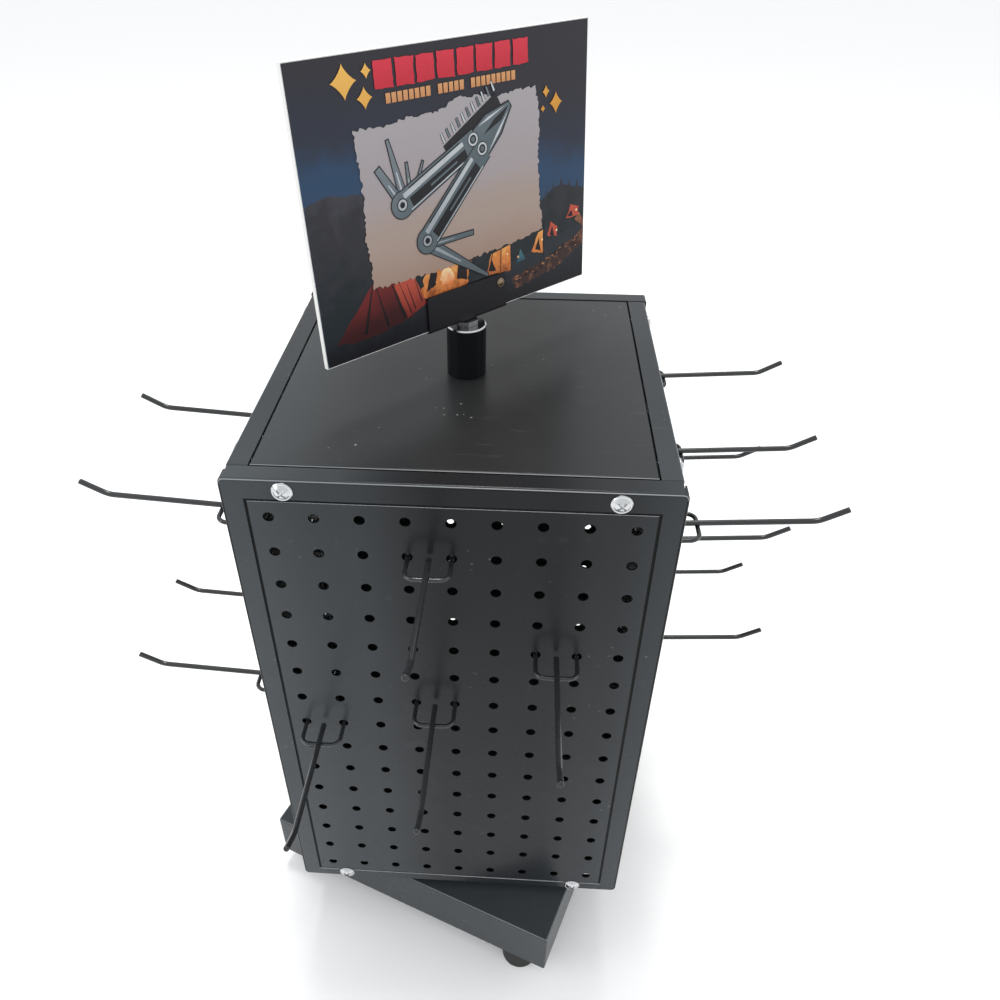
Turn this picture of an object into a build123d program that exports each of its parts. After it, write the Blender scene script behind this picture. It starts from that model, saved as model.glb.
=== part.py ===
"""Rotating countertop display rack.

A square tower of four perforated sheet-steel panels turns on a ball-bearing turntable above a
square base on rubber feet. Wire hooks hang in pairs of peg holes, and a swivelling clip on top
of a short post holds a sign board.

Millimetres, +Z up. The origin is on the floor under the tower's turning axis, and the front
panel faces -Y.
"""
from build123d import *
from math import cos, radians, tan
import os

# How far a cutting or joining shape runs past the surface it meets
OVERRUN = 1.0

# Sheet metal shared by the panels, trays and base
SHEET = 1.2
BEND_RADIUS = 2.0
WIDE_CORNER_RADIUS = 4.0
WIDE_CORNER_NOTCH = 2.6
TIGHT_CORNER_RADIUS = 1.5

# Peg-hole grid
PITCH = 25.4
COLUMNS = 9
ROWS = 15
PEG_RADIUS = 3.2
FIRST_ROW_DROP = 25.4

# Base, in its own square frame, which is turned under the tower
BASE_TURN = -21.3
BASE_WIDTH = 254.0
BASE_HEIGHT = 47.0
BASE_RETURN = 28.0
BASE_SEAM = 0.6
FOOT_HEIGHT = 20.0
FOOT_RADIUS = 14.5
FOOT_TOP_RADIUS = 13.2
FOOT_X = 100.0
FOOT_Y = 113.0
FOOT_RECESS_RADIUS = 5.5
FOOT_RECESS_DEPTH = 12.0
FOOT_EDGE_RADIUS = 1.5

# Tower
BEARING_HEIGHT = 12.5
TOWER_WIDTH = 254.0
PANEL_HEIGHT = 402.4
FLANGE = 12.5
SIDE_STEP = 1.5
PANEL_SEAM = 0.3
FRONT_TRAY_GAP = 1.4
SIDE_TRAY_GAP = 0.4
TRAY_LIP = 15.0
GROOVE_WIDTH = 1.8
GROOVE_DEPTH = 0.6
GROOVE_TOP_DROP = 14.0
GROOVE_BOTTOM_RISE = 10.0
GROOVE_FRONT_HALF = 113.0
GROOVE_SIDE_HALF = 109.6

# Panel screws and the rivet nuts they run into
SCREW_X = 91.5
SCREW_TOP_DROP = 7.4
SCREW_BOTTOM_RISE = 6.2
SCREW_RADIUS = 1.95
SCREW_HOLE_RADIUS = 2.3
SCREW_HEAD_RADIUS = 6.0
SCREW_HEAD_HEIGHT = 3.2
SCREW_LENGTH = 22.0
NUT_HEAD_RADIUS = 4.8
NUT_HEAD_HEIGHT = 0.8
NUT_BODY_RADIUS = 3.4
NUT_BODY_LENGTH = 9.0
NUT_BORE_RADIUS = 2.05

# Turntable bearing
RACE_PLATE_WIDTH = 100.0
RACE_PLATE_SHEET = 1.5
RACE_RADIUS = 37.0
RACE_HALF_WIDTH = 6.0
RACE_CENTRE_HOLE = 9.0
RACE_CORNER_RADIUS = 8.0
TRACK_GAP = 2.0
BALL_RADIUS = 3.0
BALL_COUNT = 16
BALL_CLEARANCE = 0.1
CAGE_SHEET = 0.8
CAGE_HALF_WIDTH = 4.6
RACE_SCREW_X = 42.0

# Cross recess of every screw, as shares of its head's radius and height
DOME_SHARE = 0.8
RIM_SHARE = 0.34
RECESS_WIDTH = 0.2
RECESS_DEPTH = 0.5

# Bolts and small machine screws
M8_RADIUS = 4.0
M8_HEX = 13.0
M8_HEAD_HEIGHT = 5.3
M8_NUT_HEIGHT = 6.5
HEX_CHAMFER = 0.4
RUNNING_CLEARANCE = 0.08
THREAD_CLEARANCE = 0.05
WASHER_SHEET = 1.6
POST_WASHER_RADIUS = 10.0
PIVOT_END_PLAY = 0.3
PIVOT_THREAD_SHOWING = 2.0
M4_RADIUS = 2.0
M4_HEAD_RADIUS = 4.0
M4_HEAD_HEIGHT = 2.4
M4_NUT_HEX = 7.0
M4_NUT_HEIGHT = 3.2

# Sign post, clip and board
POST_RADIUS = 12.5
POST_HEIGHT = 33.5
POST_CHAMFER = 0.8
STUD_RADIUS = 3.0
STUD_CLEARANCE = 0.06
STUD_LENGTH = 20.0
POST_BOLT_THREAD = 10.5
BLIND_HOLE_SPARE = 1.0
COLLAR_HEIGHT = 2.9
COLLAR_GAP = 0.1
SIGN_TURN = 44.3
SIGN_LEAN = 4.2
SIGN_WIDTH = 205.0
SIGN_HEIGHT = 154.0
BOARD_THICKNESS = 3.0
PRINT_THICKNESS = 0.3
PRINT_RIM = 0.5
CLIP_LENGTH = 62.0
CLIP_HEIGHT = 22.5
CLIP_SLACK = 0.2
CLIP_FOLD_RADIUS = 1.7
CLIP_CORNER_RADIUS = 2.0
CLIP_SCREW_X = 26.5
CLIP_SCREW_Z = 17.0
CLIP_SCREW_RADIUS = 1.5
CLIP_SCREW_HEAD_RADIUS = 2.8
CLIP_SCREW_HEAD_HEIGHT = 1.8

# Wire hook, measured outwards from a panel's outer face and up from the peg-hole centre
WIRE_RADIUS = 1.4
ARM_RADIUS = 1.75
HOOK_SLOPE = 4.0
CROSSBAR_OUT = 18.0
CROSSBAR_BEND = 6.0
ARM_START = 3.5
KINK_OUT = 87.0
KINK_RADIUS = 16.0
TIP_LENGTH = 18.5
TIP_SLOPE = 30.5
TIP_ROUND = 0.7
WELD_DEPTH = 0.25
HOLE_CLEARANCE = 0.05
PRONG_BEND_IN = 4.5
PRONG_TIP_IN = 2.75
PRONG_TIP_RISE = 9.0
PRONG_BEND_RADIUS = 2.6

# Where each hook hangs, as seen facing its panel: left peg column, then row, both from 0
HOOK_PLACES = {
    "front": [(3, 1), (6, 4), (3, 6), (0, 7)],
    "right": [(0, 1), (3, 1), (7, 1), (3, 4), (7, 4), (3, 8), (6, 8)],
    "left": [(3, 1), (7, 1), (4, 7), (7, 7)],
}

# Heights that follow
BASE_TOP = FOOT_HEIGHT + BASE_HEIGHT
TOWER_BOTTOM = BASE_TOP + BEARING_HEIGHT
TOWER_TOP = TOWER_BOTTOM + PANEL_HEIGHT
FIRST_ROW = TOWER_TOP - FIRST_ROW_DROP
POST_TOP = TOWER_TOP + POST_HEIGHT
CLIP_BOTTOM = POST_TOP + COLLAR_HEIGHT

# Distances from the axis: outer face and tray lip behind it, on the front and on the sides
FRONT_FACE = TOWER_WIDTH / 2
SIDE_FACE = FRONT_FACE - SIDE_STEP
FRONT_LIP = FRONT_FACE - FLANGE - FRONT_TRAY_GAP
SIDE_LIP = SIDE_FACE - FLANGE - SIDE_TRAY_GAP

# Each side's turn about Z from the front, its outer face and its tray lip
SIDES = {
    "front": (0, FRONT_FACE, FRONT_LIP),
    "right": (90, SIDE_FACE, SIDE_LIP),
    "rear": (180, FRONT_FACE, FRONT_LIP),
    "left": (270, SIDE_FACE, SIDE_LIP),
}

parts = {}


def tube(outer_radius, inner_radius, height):
    """Ring standing on z = 0."""
    ring = Cylinder(outer_radius, height) - Cylinder(inner_radius, height)
    return Pos(0, 0, height / 2) * ring


def rod(radius, bottom, top):
    """Round bar between two heights."""
    return Pos(0, 0, (bottom + top) / 2) * Cylinder(radius, top - bottom)


def hexagon(across_flats, height):
    """Hexagonal prism standing on z = 0, with its upper corners chamfered."""
    prism = extrude(RegularPolygon(across_flats / 2, 6, major_radius=False), height)
    cone_radius = across_flats / 2 / cos(radians(30))
    top_radius = cone_radius - HEX_CHAMFER
    bevel = Pos(0, 0, height / 2) * Cone(top_radius + height, top_radius, height)
    return prism & bevel


def hex_nut(across_flats, bolt_radius, height):
    """Hexagonal nut standing on z = 0."""
    return hexagon(across_flats, height) - Cylinder(bolt_radius + THREAD_CLEARANCE, 4 * height)


def pan_screw(head_radius, head_height, shank_radius, length):
    """Domed screw with a rim and a cross recess; its head stands on z = 0, its shank points down."""
    dome_radius = head_radius * DOME_SHARE
    rim_height = head_height * RIM_SHARE
    rise = head_height - rim_height
    ball_radius = (dome_radius ** 2 + rise ** 2) / (2 * rise)
    dome = Pos(0, 0, head_height - ball_radius) * Sphere(ball_radius)
    head = dome & rod(dome_radius, 0, head_height)
    rim = rod(head_radius, 0, rim_height)
    head += chamfer(rim.edges().group_by(Axis.Z)[-1], rim_height / 2)
    slot_width = head_radius * RECESS_WIDTH
    slot_depth = head_height * RECESS_DEPTH
    for turn in (45, 135):
        slot = Box(head_radius, slot_width, slot_depth)
        head -= Pos(0, 0, head_height - slot_depth / 2) * Rot(0, 0, turn) * slot
    return head + rod(shank_radius, -length, head_height - slot_depth)


def folded_tray(width, height, depth, corner_radius):
    """Sheet folded into a shallow tray.

    Its face lies at y = 0 and spans x = -width/2 to width/2 and z = 0 to height; the four
    flanges run back to y = depth.
    """
    bend_radius = min(BEND_RADIUS, corner_radius)
    outer = Pos(0, depth / 2, height / 2) * Box(width, depth, height)
    outer = fillet(outer.edges().filter_by(Axis.Y), corner_radius)
    outer = fillet(outer.faces().sort_by(Axis.Y)[0].edges(), bend_radius)
    inner = Box(width - 2 * SHEET, depth, height - 2 * SHEET)
    inner = Pos(0, depth / 2 + SHEET, height / 2) * inner
    inner = fillet(inner.edges().filter_by(Axis.Y), corner_radius - SHEET)
    inner = fillet(inner.faces().sort_by(Axis.Y)[0].edges(), bend_radius - SHEET)
    return outer - inner


def notch_corners(tray, width, height, depth):
    """Open the four flange corners behind the bend."""
    size = 2 * WIDE_CORNER_NOTCH
    for x in (-width / 2, width / 2):
        for z in (0, height):
            tray -= Pos(x, depth / 2 + BEND_RADIUS, z) * Box(size, depth, size)
    return tray


def across_face(shape):
    """Turn a shape built along Z so that it points out of a panel, towards -Y."""
    return Rot(90, 0, 0) * shape


def peg_panel(panel, groove_half):
    """Perforate and groove a panel's tray: outer face at y = 0, bottom edge at z = 0."""
    grid_middle = PANEL_HEIGHT - FIRST_ROW_DROP - (ROWS - 1) * PITCH / 2
    grid = GridLocations(PITCH, PITCH, COLUMNS, ROWS) * Circle(PEG_RADIUS)
    holes = extrude(Sketch() + grid, 2 * SHEET, both=True)
    panel -= Pos(0, 0, grid_middle) * across_face(holes)

    groove_height = PANEL_HEIGHT - GROOVE_TOP_DROP - GROOVE_BOTTOM_RISE
    groove_middle = GROOVE_BOTTOM_RISE + groove_height / 2
    outline = Rectangle(2 * groove_half + GROOVE_WIDTH, groove_height + GROOVE_WIDTH)
    outline -= Rectangle(2 * groove_half - GROOVE_WIDTH, groove_height - GROOVE_WIDTH)
    groove = extrude(outline, GROOVE_DEPTH, both=True)
    panel -= Pos(0, 0, groove_middle) * across_face(groove)

    for x in (-SCREW_X, SCREW_X):
        for z in (SCREW_BOTTOM_RISE, PANEL_HEIGHT - SCREW_TOP_DROP):
            hole = Cylinder(SCREW_HOLE_RADIUS, 4 * SHEET)
            panel -= Pos(x, 0, z) * across_face(hole)
    return panel


def screw_places(use_lip):
    """Yield the place of each panel screw's head, or of its rivet nut on the tray lip."""
    for turn, face, lip in SIDES.values():
        out = lip if use_lip else face
        for x in (-SCREW_X, SCREW_X):
            for z in (TOWER_BOTTOM + SCREW_BOTTOM_RISE, TOWER_TOP - SCREW_TOP_DROP):
                yield Rot(0, 0, turn) * Pos(x, -out, z)


def make_panels():
    side_width = TOWER_WIDTH - 2 * FLANGE - 2 * PANEL_SEAM
    front = folded_tray(TOWER_WIDTH, PANEL_HEIGHT, FLANGE, WIDE_CORNER_RADIUS)
    front = notch_corners(front, TOWER_WIDTH, PANEL_HEIGHT, FLANGE)
    front = peg_panel(front, GROOVE_FRONT_HALF)
    rear = folded_tray(TOWER_WIDTH, PANEL_HEIGHT, FLANGE, TIGHT_CORNER_RADIUS)
    rear = peg_panel(rear, GROOVE_FRONT_HALF)
    flank = folded_tray(side_width, PANEL_HEIGHT, FLANGE, TIGHT_CORNER_RADIUS)
    flank = peg_panel(flank, GROOVE_SIDE_HALF)
    shapes = {"front": front, "right": flank, "rear": rear, "left": flank}
    for side, (turn, face, _) in SIDES.items():
        parts[side + "_panel"] = Rot(0, 0, turn) * Pos(0, -face, TOWER_BOTTOM) * shapes[side]


def make_trays():
    """The top and bottom of the tower, whose lips carry the rivet nuts."""
    tray = folded_tray(2 * SIDE_LIP, 2 * FRONT_LIP, TRAY_LIP, TIGHT_CORNER_RADIUS)
    top = Pos(0, -FRONT_LIP, TOWER_TOP) * Rot(-90, 0, 0) * tray
    bottom = Pos(0, FRONT_LIP, TOWER_BOTTOM) * Rot(90, 0, 0) * tray
    for place in screw_places(use_lip=True):
        hole = place * across_face(Cylinder(NUT_BODY_RADIUS + THREAD_CLEARANCE, 4 * SHEET))
        top -= hole
        bottom -= hole
    bolt_hole = Cylinder(M8_RADIUS + RUNNING_CLEARANCE, 4 * SHEET)
    top -= Pos(0, 0, TOWER_TOP) * bolt_hole
    bottom -= Pos(0, 0, TOWER_BOTTOM) * bolt_hole
    for x, y in race_corners():
        bottom -= Pos(x, y, TOWER_BOTTOM) * Cylinder(M4_RADIUS + THREAD_CLEARANCE, 4 * SHEET)
    parts["top_tray"] = top
    parts["bottom_tray"] = bottom


def make_panel_fasteners():
    screw = pan_screw(SCREW_HEAD_RADIUS, SCREW_HEAD_HEIGHT, SCREW_RADIUS, SCREW_LENGTH)
    screws = [place * across_face(screw) for place in screw_places(use_lip=False)]
    parts["panel_screws"] = Compound(children=screws)

    nut = tube(NUT_HEAD_RADIUS, NUT_BORE_RADIUS, NUT_HEAD_HEIGHT)
    nut += Pos(0, 0, -NUT_BODY_LENGTH) * tube(NUT_BODY_RADIUS, NUT_BORE_RADIUS, NUT_BODY_LENGTH)
    nuts = [place * across_face(nut) for place in screw_places(use_lip=True)]
    parts["rivet_nuts"] = Compound(children=nuts)


def race_corners():
    """The four screw places of a turntable plate, in that plate's own square frame."""
    return [(x, y) for x in (-RACE_SCREW_X, RACE_SCREW_X) for y in (-RACE_SCREW_X, RACE_SCREW_X)]


def race_plate():
    """Square plate on z = 0 with a raised ball track, seen as the lower half of the bearing."""
    plate = Box(RACE_PLATE_WIDTH, RACE_PLATE_WIDTH, RACE_PLATE_SHEET)
    plate = fillet(plate.edges().filter_by(Axis.Z), RACE_CORNER_RADIUS)
    plate = Pos(0, 0, RACE_PLATE_SHEET / 2) * plate
    track_height = (BEARING_HEIGHT - TRACK_GAP) / 2
    plate += tube(RACE_RADIUS + RACE_HALF_WIDTH, RACE_RADIUS - RACE_HALF_WIDTH, track_height)
    track = Torus(RACE_RADIUS, BALL_RADIUS + BALL_CLEARANCE)
    plate -= Pos(0, 0, BEARING_HEIGHT / 2) * track
    plate -= Cylinder(RACE_CENTRE_HOLE, 4 * RACE_PLATE_SHEET)
    for x, y in race_corners():
        plate -= Pos(x, y, 0) * Cylinder(M4_RADIUS + THREAD_CLEARANCE, 4 * RACE_PLATE_SHEET)
    return plate


def make_bearing():
    plate = race_plate()
    parts["lower_race"] = Rot(0, 0, BASE_TURN) * Pos(0, 0, BASE_TOP) * plate
    parts["upper_race"] = Pos(0, 0, TOWER_BOTTOM) * Rot(180, 0, 0) * plate

    middle = BASE_TOP + BEARING_HEIGHT / 2
    cage = tube(RACE_RADIUS + CAGE_HALF_WIDTH, RACE_RADIUS - CAGE_HALF_WIDTH, CAGE_SHEET)
    balls = []
    for place in PolarLocations(RACE_RADIUS, BALL_COUNT):
        balls.append(Pos(0, 0, middle) * place * Sphere(BALL_RADIUS))
        cage -= place * Cylinder(BALL_RADIUS + THREAD_CLEARANCE, 4 * CAGE_SHEET)
    parts["bearing_balls"] = Compound(children=balls)
    parts["ball_cage"] = Pos(0, 0, middle - CAGE_SHEET / 2) * cage

    grip = SHEET + RACE_PLATE_SHEET
    screw = pan_screw(M4_HEAD_RADIUS, M4_HEAD_HEIGHT, M4_RADIUS, grip + M4_NUT_HEIGHT)
    nut = Pos(0, 0, -grip - M4_NUT_HEIGHT) * hex_nut(M4_NUT_HEX, M4_RADIUS, M4_NUT_HEIGHT)
    lower = []
    upper = []
    for x, y in race_corners():
        on_base = Rot(0, 0, BASE_TURN) * Pos(x, y, BASE_TOP + RACE_PLATE_SHEET)
        in_tower = Pos(x, y, TOWER_BOTTOM + SHEET)
        lower += [on_base * screw, on_base * nut]
        upper += [in_tower * screw, in_tower * nut]
    parts["lower_race_screws"] = Compound(children=lower)
    parts["upper_race_screws"] = Compound(children=upper)


def make_pivot():
    """The bolt the tower turns on, held in the base, with its nut inside the tower."""
    under_base = BASE_TOP - SHEET
    washer_bottom = TOWER_BOTTOM + SHEET + PIVOT_END_PLAY
    nut_bottom = washer_bottom + WASHER_SHEET
    bolt_top = nut_bottom + M8_NUT_HEIGHT + PIVOT_THREAD_SHOWING
    head = Pos(0, 0, under_base) * Rot(180, 0, 0) * hexagon(M8_HEX, M8_HEAD_HEIGHT)
    parts["pivot_bolt"] = head + rod(M8_RADIUS, under_base - OVERRUN, bolt_top)
    washer = tube(2 * M8_RADIUS, M8_RADIUS + THREAD_CLEARANCE, WASHER_SHEET)
    parts["pivot_washer"] = Pos(0, 0, washer_bottom) * washer
    parts["pivot_nut"] = Pos(0, 0, nut_bottom) * hex_nut(M8_HEX, M8_RADIUS, M8_NUT_HEIGHT)


def foot_places():
    return [(x, y) for x in (-FOOT_X, FOOT_X) for y in (-FOOT_Y, FOOT_Y)]


def make_base():
    outer = Box(BASE_WIDTH, BASE_WIDTH, BASE_HEIGHT)
    outer = fillet(outer.edges().filter_by(Axis.Z), TIGHT_CORNER_RADIUS)
    outer = fillet(outer.faces().sort_by(Axis.Z)[-1].edges(), TIGHT_CORNER_RADIUS)
    inner_width = BASE_WIDTH - 2 * SHEET
    inner = Box(inner_width, inner_width, BASE_HEIGHT - 2 * SHEET)
    inner = fillet(inner.edges().filter_by(Axis.Z), TIGHT_CORNER_RADIUS - SHEET)
    inner = fillet(inner.faces().sort_by(Axis.Z)[-1].edges(), TIGHT_CORNER_RADIUS - SHEET)
    shell = outer - inner
    mouth = Box(inner_width, BASE_WIDTH - 2 * BASE_RETURN, 4 * SHEET)
    shell -= Pos(0, 0, -BASE_HEIGHT / 2) * mouth
    seam_height = BASE_HEIGHT - SHEET - TIGHT_CORNER_RADIUS
    for x in (-BASE_WIDTH / 2, BASE_WIDTH / 2):
        for y in (-inner_width / 2 + BASE_SEAM, inner_width / 2 - BASE_SEAM):
            seam = Box(4 * SHEET, BASE_SEAM, seam_height)
            shell -= Pos(x, y, (SHEET - TIGHT_CORNER_RADIUS) / 2) * seam
    shell = Pos(0, 0, FOOT_HEIGHT + BASE_HEIGHT / 2) * shell
    shell -= Pos(0, 0, BASE_TOP) * Cylinder(M8_RADIUS + THREAD_CLEARANCE, 4 * SHEET)
    for x, y in race_corners():
        shell -= Pos(x, y, BASE_TOP) * Cylinder(M4_RADIUS + THREAD_CLEARANCE, 4 * SHEET)
    for x, y in foot_places():
        shell -= Pos(x, y, FOOT_HEIGHT) * Cylinder(M4_RADIUS + THREAD_CLEARANCE, 4 * SHEET)
    parts["base_shell"] = Rot(0, 0, BASE_TURN) * shell


def make_feet():
    blank = Cone(FOOT_RADIUS, FOOT_TOP_RADIUS, FOOT_HEIGHT)
    blank = fillet(blank.edges().sort_by(Axis.Z)[0], FOOT_EDGE_RADIUS)
    foot = Pos(0, 0, FOOT_HEIGHT / 2) * blank
    foot -= rod(FOOT_RECESS_RADIUS, -OVERRUN, FOOT_RECESS_DEPTH)
    foot -= rod(M4_RADIUS + THREAD_CLEARANCE, 0, FOOT_HEIGHT + OVERRUN)

    grip = FOOT_HEIGHT - FOOT_RECESS_DEPTH + SHEET
    length = grip + M4_NUT_HEIGHT
    screw = Rot(180, 0, 0) * pan_screw(M4_HEAD_RADIUS, M4_HEAD_HEIGHT, M4_RADIUS, length)
    nut = hex_nut(M4_NUT_HEX, M4_RADIUS, M4_NUT_HEIGHT)
    fasteners = []
    for number, (x, y) in enumerate(foot_places(), start=1):
        corner = Rot(0, 0, BASE_TURN) * Pos(x, y, 0)
        parts[f"foot_{number}"] = corner * foot
        fasteners += [corner * Pos(0, 0, FOOT_RECESS_DEPTH) * screw,
                      corner * Pos(0, 0, FOOT_HEIGHT + SHEET) * nut]
    parts["foot_screws"] = Compound(children=fasteners)


def make_post():
    post = Cylinder(POST_RADIUS, POST_HEIGHT)
    post = chamfer(post.edges().filter_by(GeomType.CIRCLE).sort_by(Axis.Z)[-1], POST_CHAMFER)
    post = Pos(0, 0, TOWER_TOP + POST_HEIGHT / 2) * post
    stud_hole_bottom = POST_TOP - STUD_LENGTH - BLIND_HOLE_SPARE
    post -= rod(STUD_RADIUS + STUD_CLEARANCE, stud_hole_bottom, POST_TOP + OVERRUN)
    post -= rod(M8_RADIUS, TOWER_TOP - OVERRUN, TOWER_TOP + POST_BOLT_THREAD)
    parts["sign_post"] = post

    under_tray = TOWER_TOP - SHEET
    washer = tube(POST_WASHER_RADIUS, M8_RADIUS + THREAD_CLEARANCE, WASHER_SHEET)
    parts["post_washer"] = Pos(0, 0, under_tray - WASHER_SHEET) * washer
    head_top = under_tray - WASHER_SHEET
    head = Pos(0, 0, head_top) * Rot(180, 0, 0) * hexagon(M8_HEX, M8_HEAD_HEIGHT)
    shank_top = TOWER_TOP + POST_BOLT_THREAD - BLIND_HOLE_SPARE
    parts["post_bolt"] = head + rod(M8_RADIUS - THREAD_CLEARANCE, head_top - OVERRUN, shank_top)


def make_sign():
    """Everything that turns on the post. The leaned frame starts under the clip's floor."""
    turned = Rot(0, 0, SIGN_TURN)
    leaned = turned * Pos(0, 0, CLIP_BOTTOM) * Rot(-SIGN_LEAN, 0, 0)

    front = -BOARD_THICKNESS / 2 - PRINT_THICKNESS - CLIP_SLACK
    back = BOARD_THICKNESS / 2 + CLIP_SLACK
    middle = (front + back) / 2
    depth = back - front + 2 * SHEET
    clip = Pos(0, middle, CLIP_HEIGHT / 2) * Box(CLIP_LENGTH, depth, CLIP_HEIGHT)
    clip = fillet(clip.edges().filter_by(Axis.X).sort_by(Axis.Z)[:2], CLIP_FOLD_RADIUS)
    clip = fillet(clip.edges().filter_by(Axis.Y).sort_by(Axis.Z)[-2:], CLIP_CORNER_RADIUS)
    slot = Box(CLIP_LENGTH + OVERRUN, back - front, CLIP_HEIGHT)
    clip -= Pos(0, middle, CLIP_HEIGHT / 2 + SHEET) * slot
    screw_place = Pos(CLIP_SCREW_X, front - SHEET, CLIP_SCREW_Z)
    clip -= screw_place * across_face(Cylinder(CLIP_SCREW_RADIUS + THREAD_CLEARANCE, 3 * SHEET))
    parts["sign_clip"] = leaned * clip

    screw = pan_screw(CLIP_SCREW_HEAD_RADIUS, CLIP_SCREW_HEAD_HEIGHT, CLIP_SCREW_RADIUS,
                      SHEET + CLIP_SLACK)
    parts["clip_screw"] = leaned * screw_place * across_face(screw)

    board = Pos(0, 0, SHEET + SIGN_HEIGHT / 2) * Box(SIGN_WIDTH, BOARD_THICKNESS, SIGN_HEIGHT)
    parts["sign_board"] = leaned * board
    sheet = Box(SIGN_WIDTH - 2 * PRINT_RIM, PRINT_THICKNESS, SIGN_HEIGHT - 2 * PRINT_RIM)
    sheet_y = -(BOARD_THICKNESS + PRINT_THICKNESS) / 2
    parts["sign_print"] = leaned * Pos(0, sheet_y, SHEET + SIGN_HEIGHT / 2) * sheet

    collar = turned * Pos(0, 0, POST_TOP + COLLAR_GAP) * hexagon(M8_HEX, 2 * COLLAR_HEIGHT)
    stud = collar + rod(STUD_RADIUS, POST_TOP - STUD_LENGTH, POST_TOP + OVERRUN)
    above_clip_floor = leaned * Pos(0, 0, M8_HEX) * Box(2 * M8_HEX, 2 * M8_HEX, 2 * M8_HEX)
    parts["clip_stud"] = stud - above_clip_floor


def hook_shape():
    """One hook: a bent U wire whose prongs pass two peg holes, and an arm welded on top."""
    rise = tan(radians(HOOK_SLOPE))
    on_hole_edge = -PEG_RADIUS + HOLE_CLEARANCE + WIRE_RADIUS / cos(radians(HOOK_SLOPE))

    def wire_height(out):
        return on_hole_edge + (out + SHEET) * rise

    side = []
    for out, height in ((-PRONG_TIP_IN, PRONG_TIP_RISE),
                        (-PRONG_BEND_IN, wire_height(-PRONG_BEND_IN)),
                        (CROSSBAR_OUT, wire_height(CROSSBAR_OUT))):
        side.append((PITCH / 2, -out, height))
    other_side = [(-x, y, z) for x, y, z in reversed(side)]
    bends = [PRONG_BEND_RADIUS, CROSSBAR_BEND, CROSSBAR_BEND, PRONG_BEND_RADIUS]
    u_path = FilletPolyline(*side, *other_side, radius=bends)
    u_wire = sweep(Plane(origin=u_path @ 0, z_dir=u_path % 0) * Circle(WIRE_RADIUS), u_path)

    lift = (WIRE_RADIUS + ARM_RADIUS - WELD_DEPTH) / cos(radians(HOOK_SLOPE))
    tip_out = KINK_OUT + TIP_LENGTH * cos(radians(TIP_SLOPE))
    kink_height = wire_height(KINK_OUT) + lift
    tip_height = kink_height + (tip_out - KINK_OUT) * tan(radians(TIP_SLOPE))
    arm_points = [(0, -ARM_START, wire_height(ARM_START) + lift),
                  (0, -KINK_OUT, kink_height),
                  (0, -tip_out, tip_height)]
    arm_path = FilletPolyline(*arm_points, radius=KINK_RADIUS)
    arm = sweep(Plane(origin=arm_path @ 0, z_dir=arm_path % 0) * Circle(ARM_RADIUS), arm_path)
    tip_face = arm.faces().sort_by(Axis.Y)[0]
    arm = fillet(tip_face.edges(), TIP_ROUND)
    return u_wire + arm


def make_hooks():
    hook = hook_shape()
    for side, places in HOOK_PLACES.items():
        turn, face, _ = SIDES[side]
        for number, (column, row) in enumerate(places, start=1):
            x = (column - (COLUMNS - 2) / 2) * PITCH
            place = Rot(0, 0, turn) * Pos(x, -face, FIRST_ROW - row * PITCH)
            parts[f"hook_{side}_{number}"] = place * hook


make_base()
make_feet()
make_bearing()
make_pivot()
make_panels()
make_trays()
make_panel_fasteners()
make_post()
make_sign()
make_hooks()

os.makedirs("parts", exist_ok=True)
for name, shape in parts.items():
    export_step(shape, f"parts/{name}.step")
print(len(parts), "nodes written")
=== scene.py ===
"""Looks for the rotating display rack: paint, plating, rubber, wire, and the printed sign.

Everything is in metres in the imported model's frame: the floor is z = 0, the tower turns about
the Z axis and the front panel faces -Y. Sizes on the sign are in millimetres on its own face.
"""
import math
import random

import bpy
from mathutils import Matrix, Vector
from mathutils.geometry import tessellate_polygon


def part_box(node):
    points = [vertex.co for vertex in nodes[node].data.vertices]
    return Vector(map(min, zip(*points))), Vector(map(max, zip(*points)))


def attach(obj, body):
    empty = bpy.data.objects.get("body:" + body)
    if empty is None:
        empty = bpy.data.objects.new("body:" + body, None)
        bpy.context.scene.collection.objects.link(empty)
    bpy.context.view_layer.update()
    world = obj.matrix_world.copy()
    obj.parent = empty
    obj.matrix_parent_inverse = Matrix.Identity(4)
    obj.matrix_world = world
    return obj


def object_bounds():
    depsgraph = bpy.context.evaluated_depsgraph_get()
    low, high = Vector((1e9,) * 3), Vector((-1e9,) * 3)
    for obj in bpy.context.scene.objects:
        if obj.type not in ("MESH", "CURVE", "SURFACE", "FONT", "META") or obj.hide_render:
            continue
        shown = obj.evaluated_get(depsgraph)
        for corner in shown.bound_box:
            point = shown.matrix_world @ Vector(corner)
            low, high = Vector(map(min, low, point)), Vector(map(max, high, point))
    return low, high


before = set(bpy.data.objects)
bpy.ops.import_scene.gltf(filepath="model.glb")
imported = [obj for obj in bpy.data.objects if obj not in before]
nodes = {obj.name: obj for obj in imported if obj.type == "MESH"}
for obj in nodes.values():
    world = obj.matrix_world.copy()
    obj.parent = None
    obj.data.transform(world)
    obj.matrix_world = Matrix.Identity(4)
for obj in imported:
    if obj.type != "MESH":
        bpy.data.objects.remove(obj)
cad_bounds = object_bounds()
MM = 0.001


def linear(red, green, blue):
    """A colour given as 0-255 display values, as the linear values that shaders use."""
    channels = []
    for value in (red, green, blue):
        share = value / 255
        channels.append(share / 12.92 if share <= 0.04045 else ((share + 0.055) / 1.055) ** 2.4)
    return (*channels, 1.0)


# Camera: in front of the rack and above it, looking down at the tower's upper half
CAMERA_PLACE = (0.0358, -0.4887, 0.7512)
CAMERA_AZIMUTH = -3.37
CAMERA_ELEVATION = 37.44
CAMERA_ROLL = 0.1
CAMERA_LENS = 30.66
CAMERA_SENSOR = 36.0
CAMERA_SHIFT = 0.0227

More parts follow.
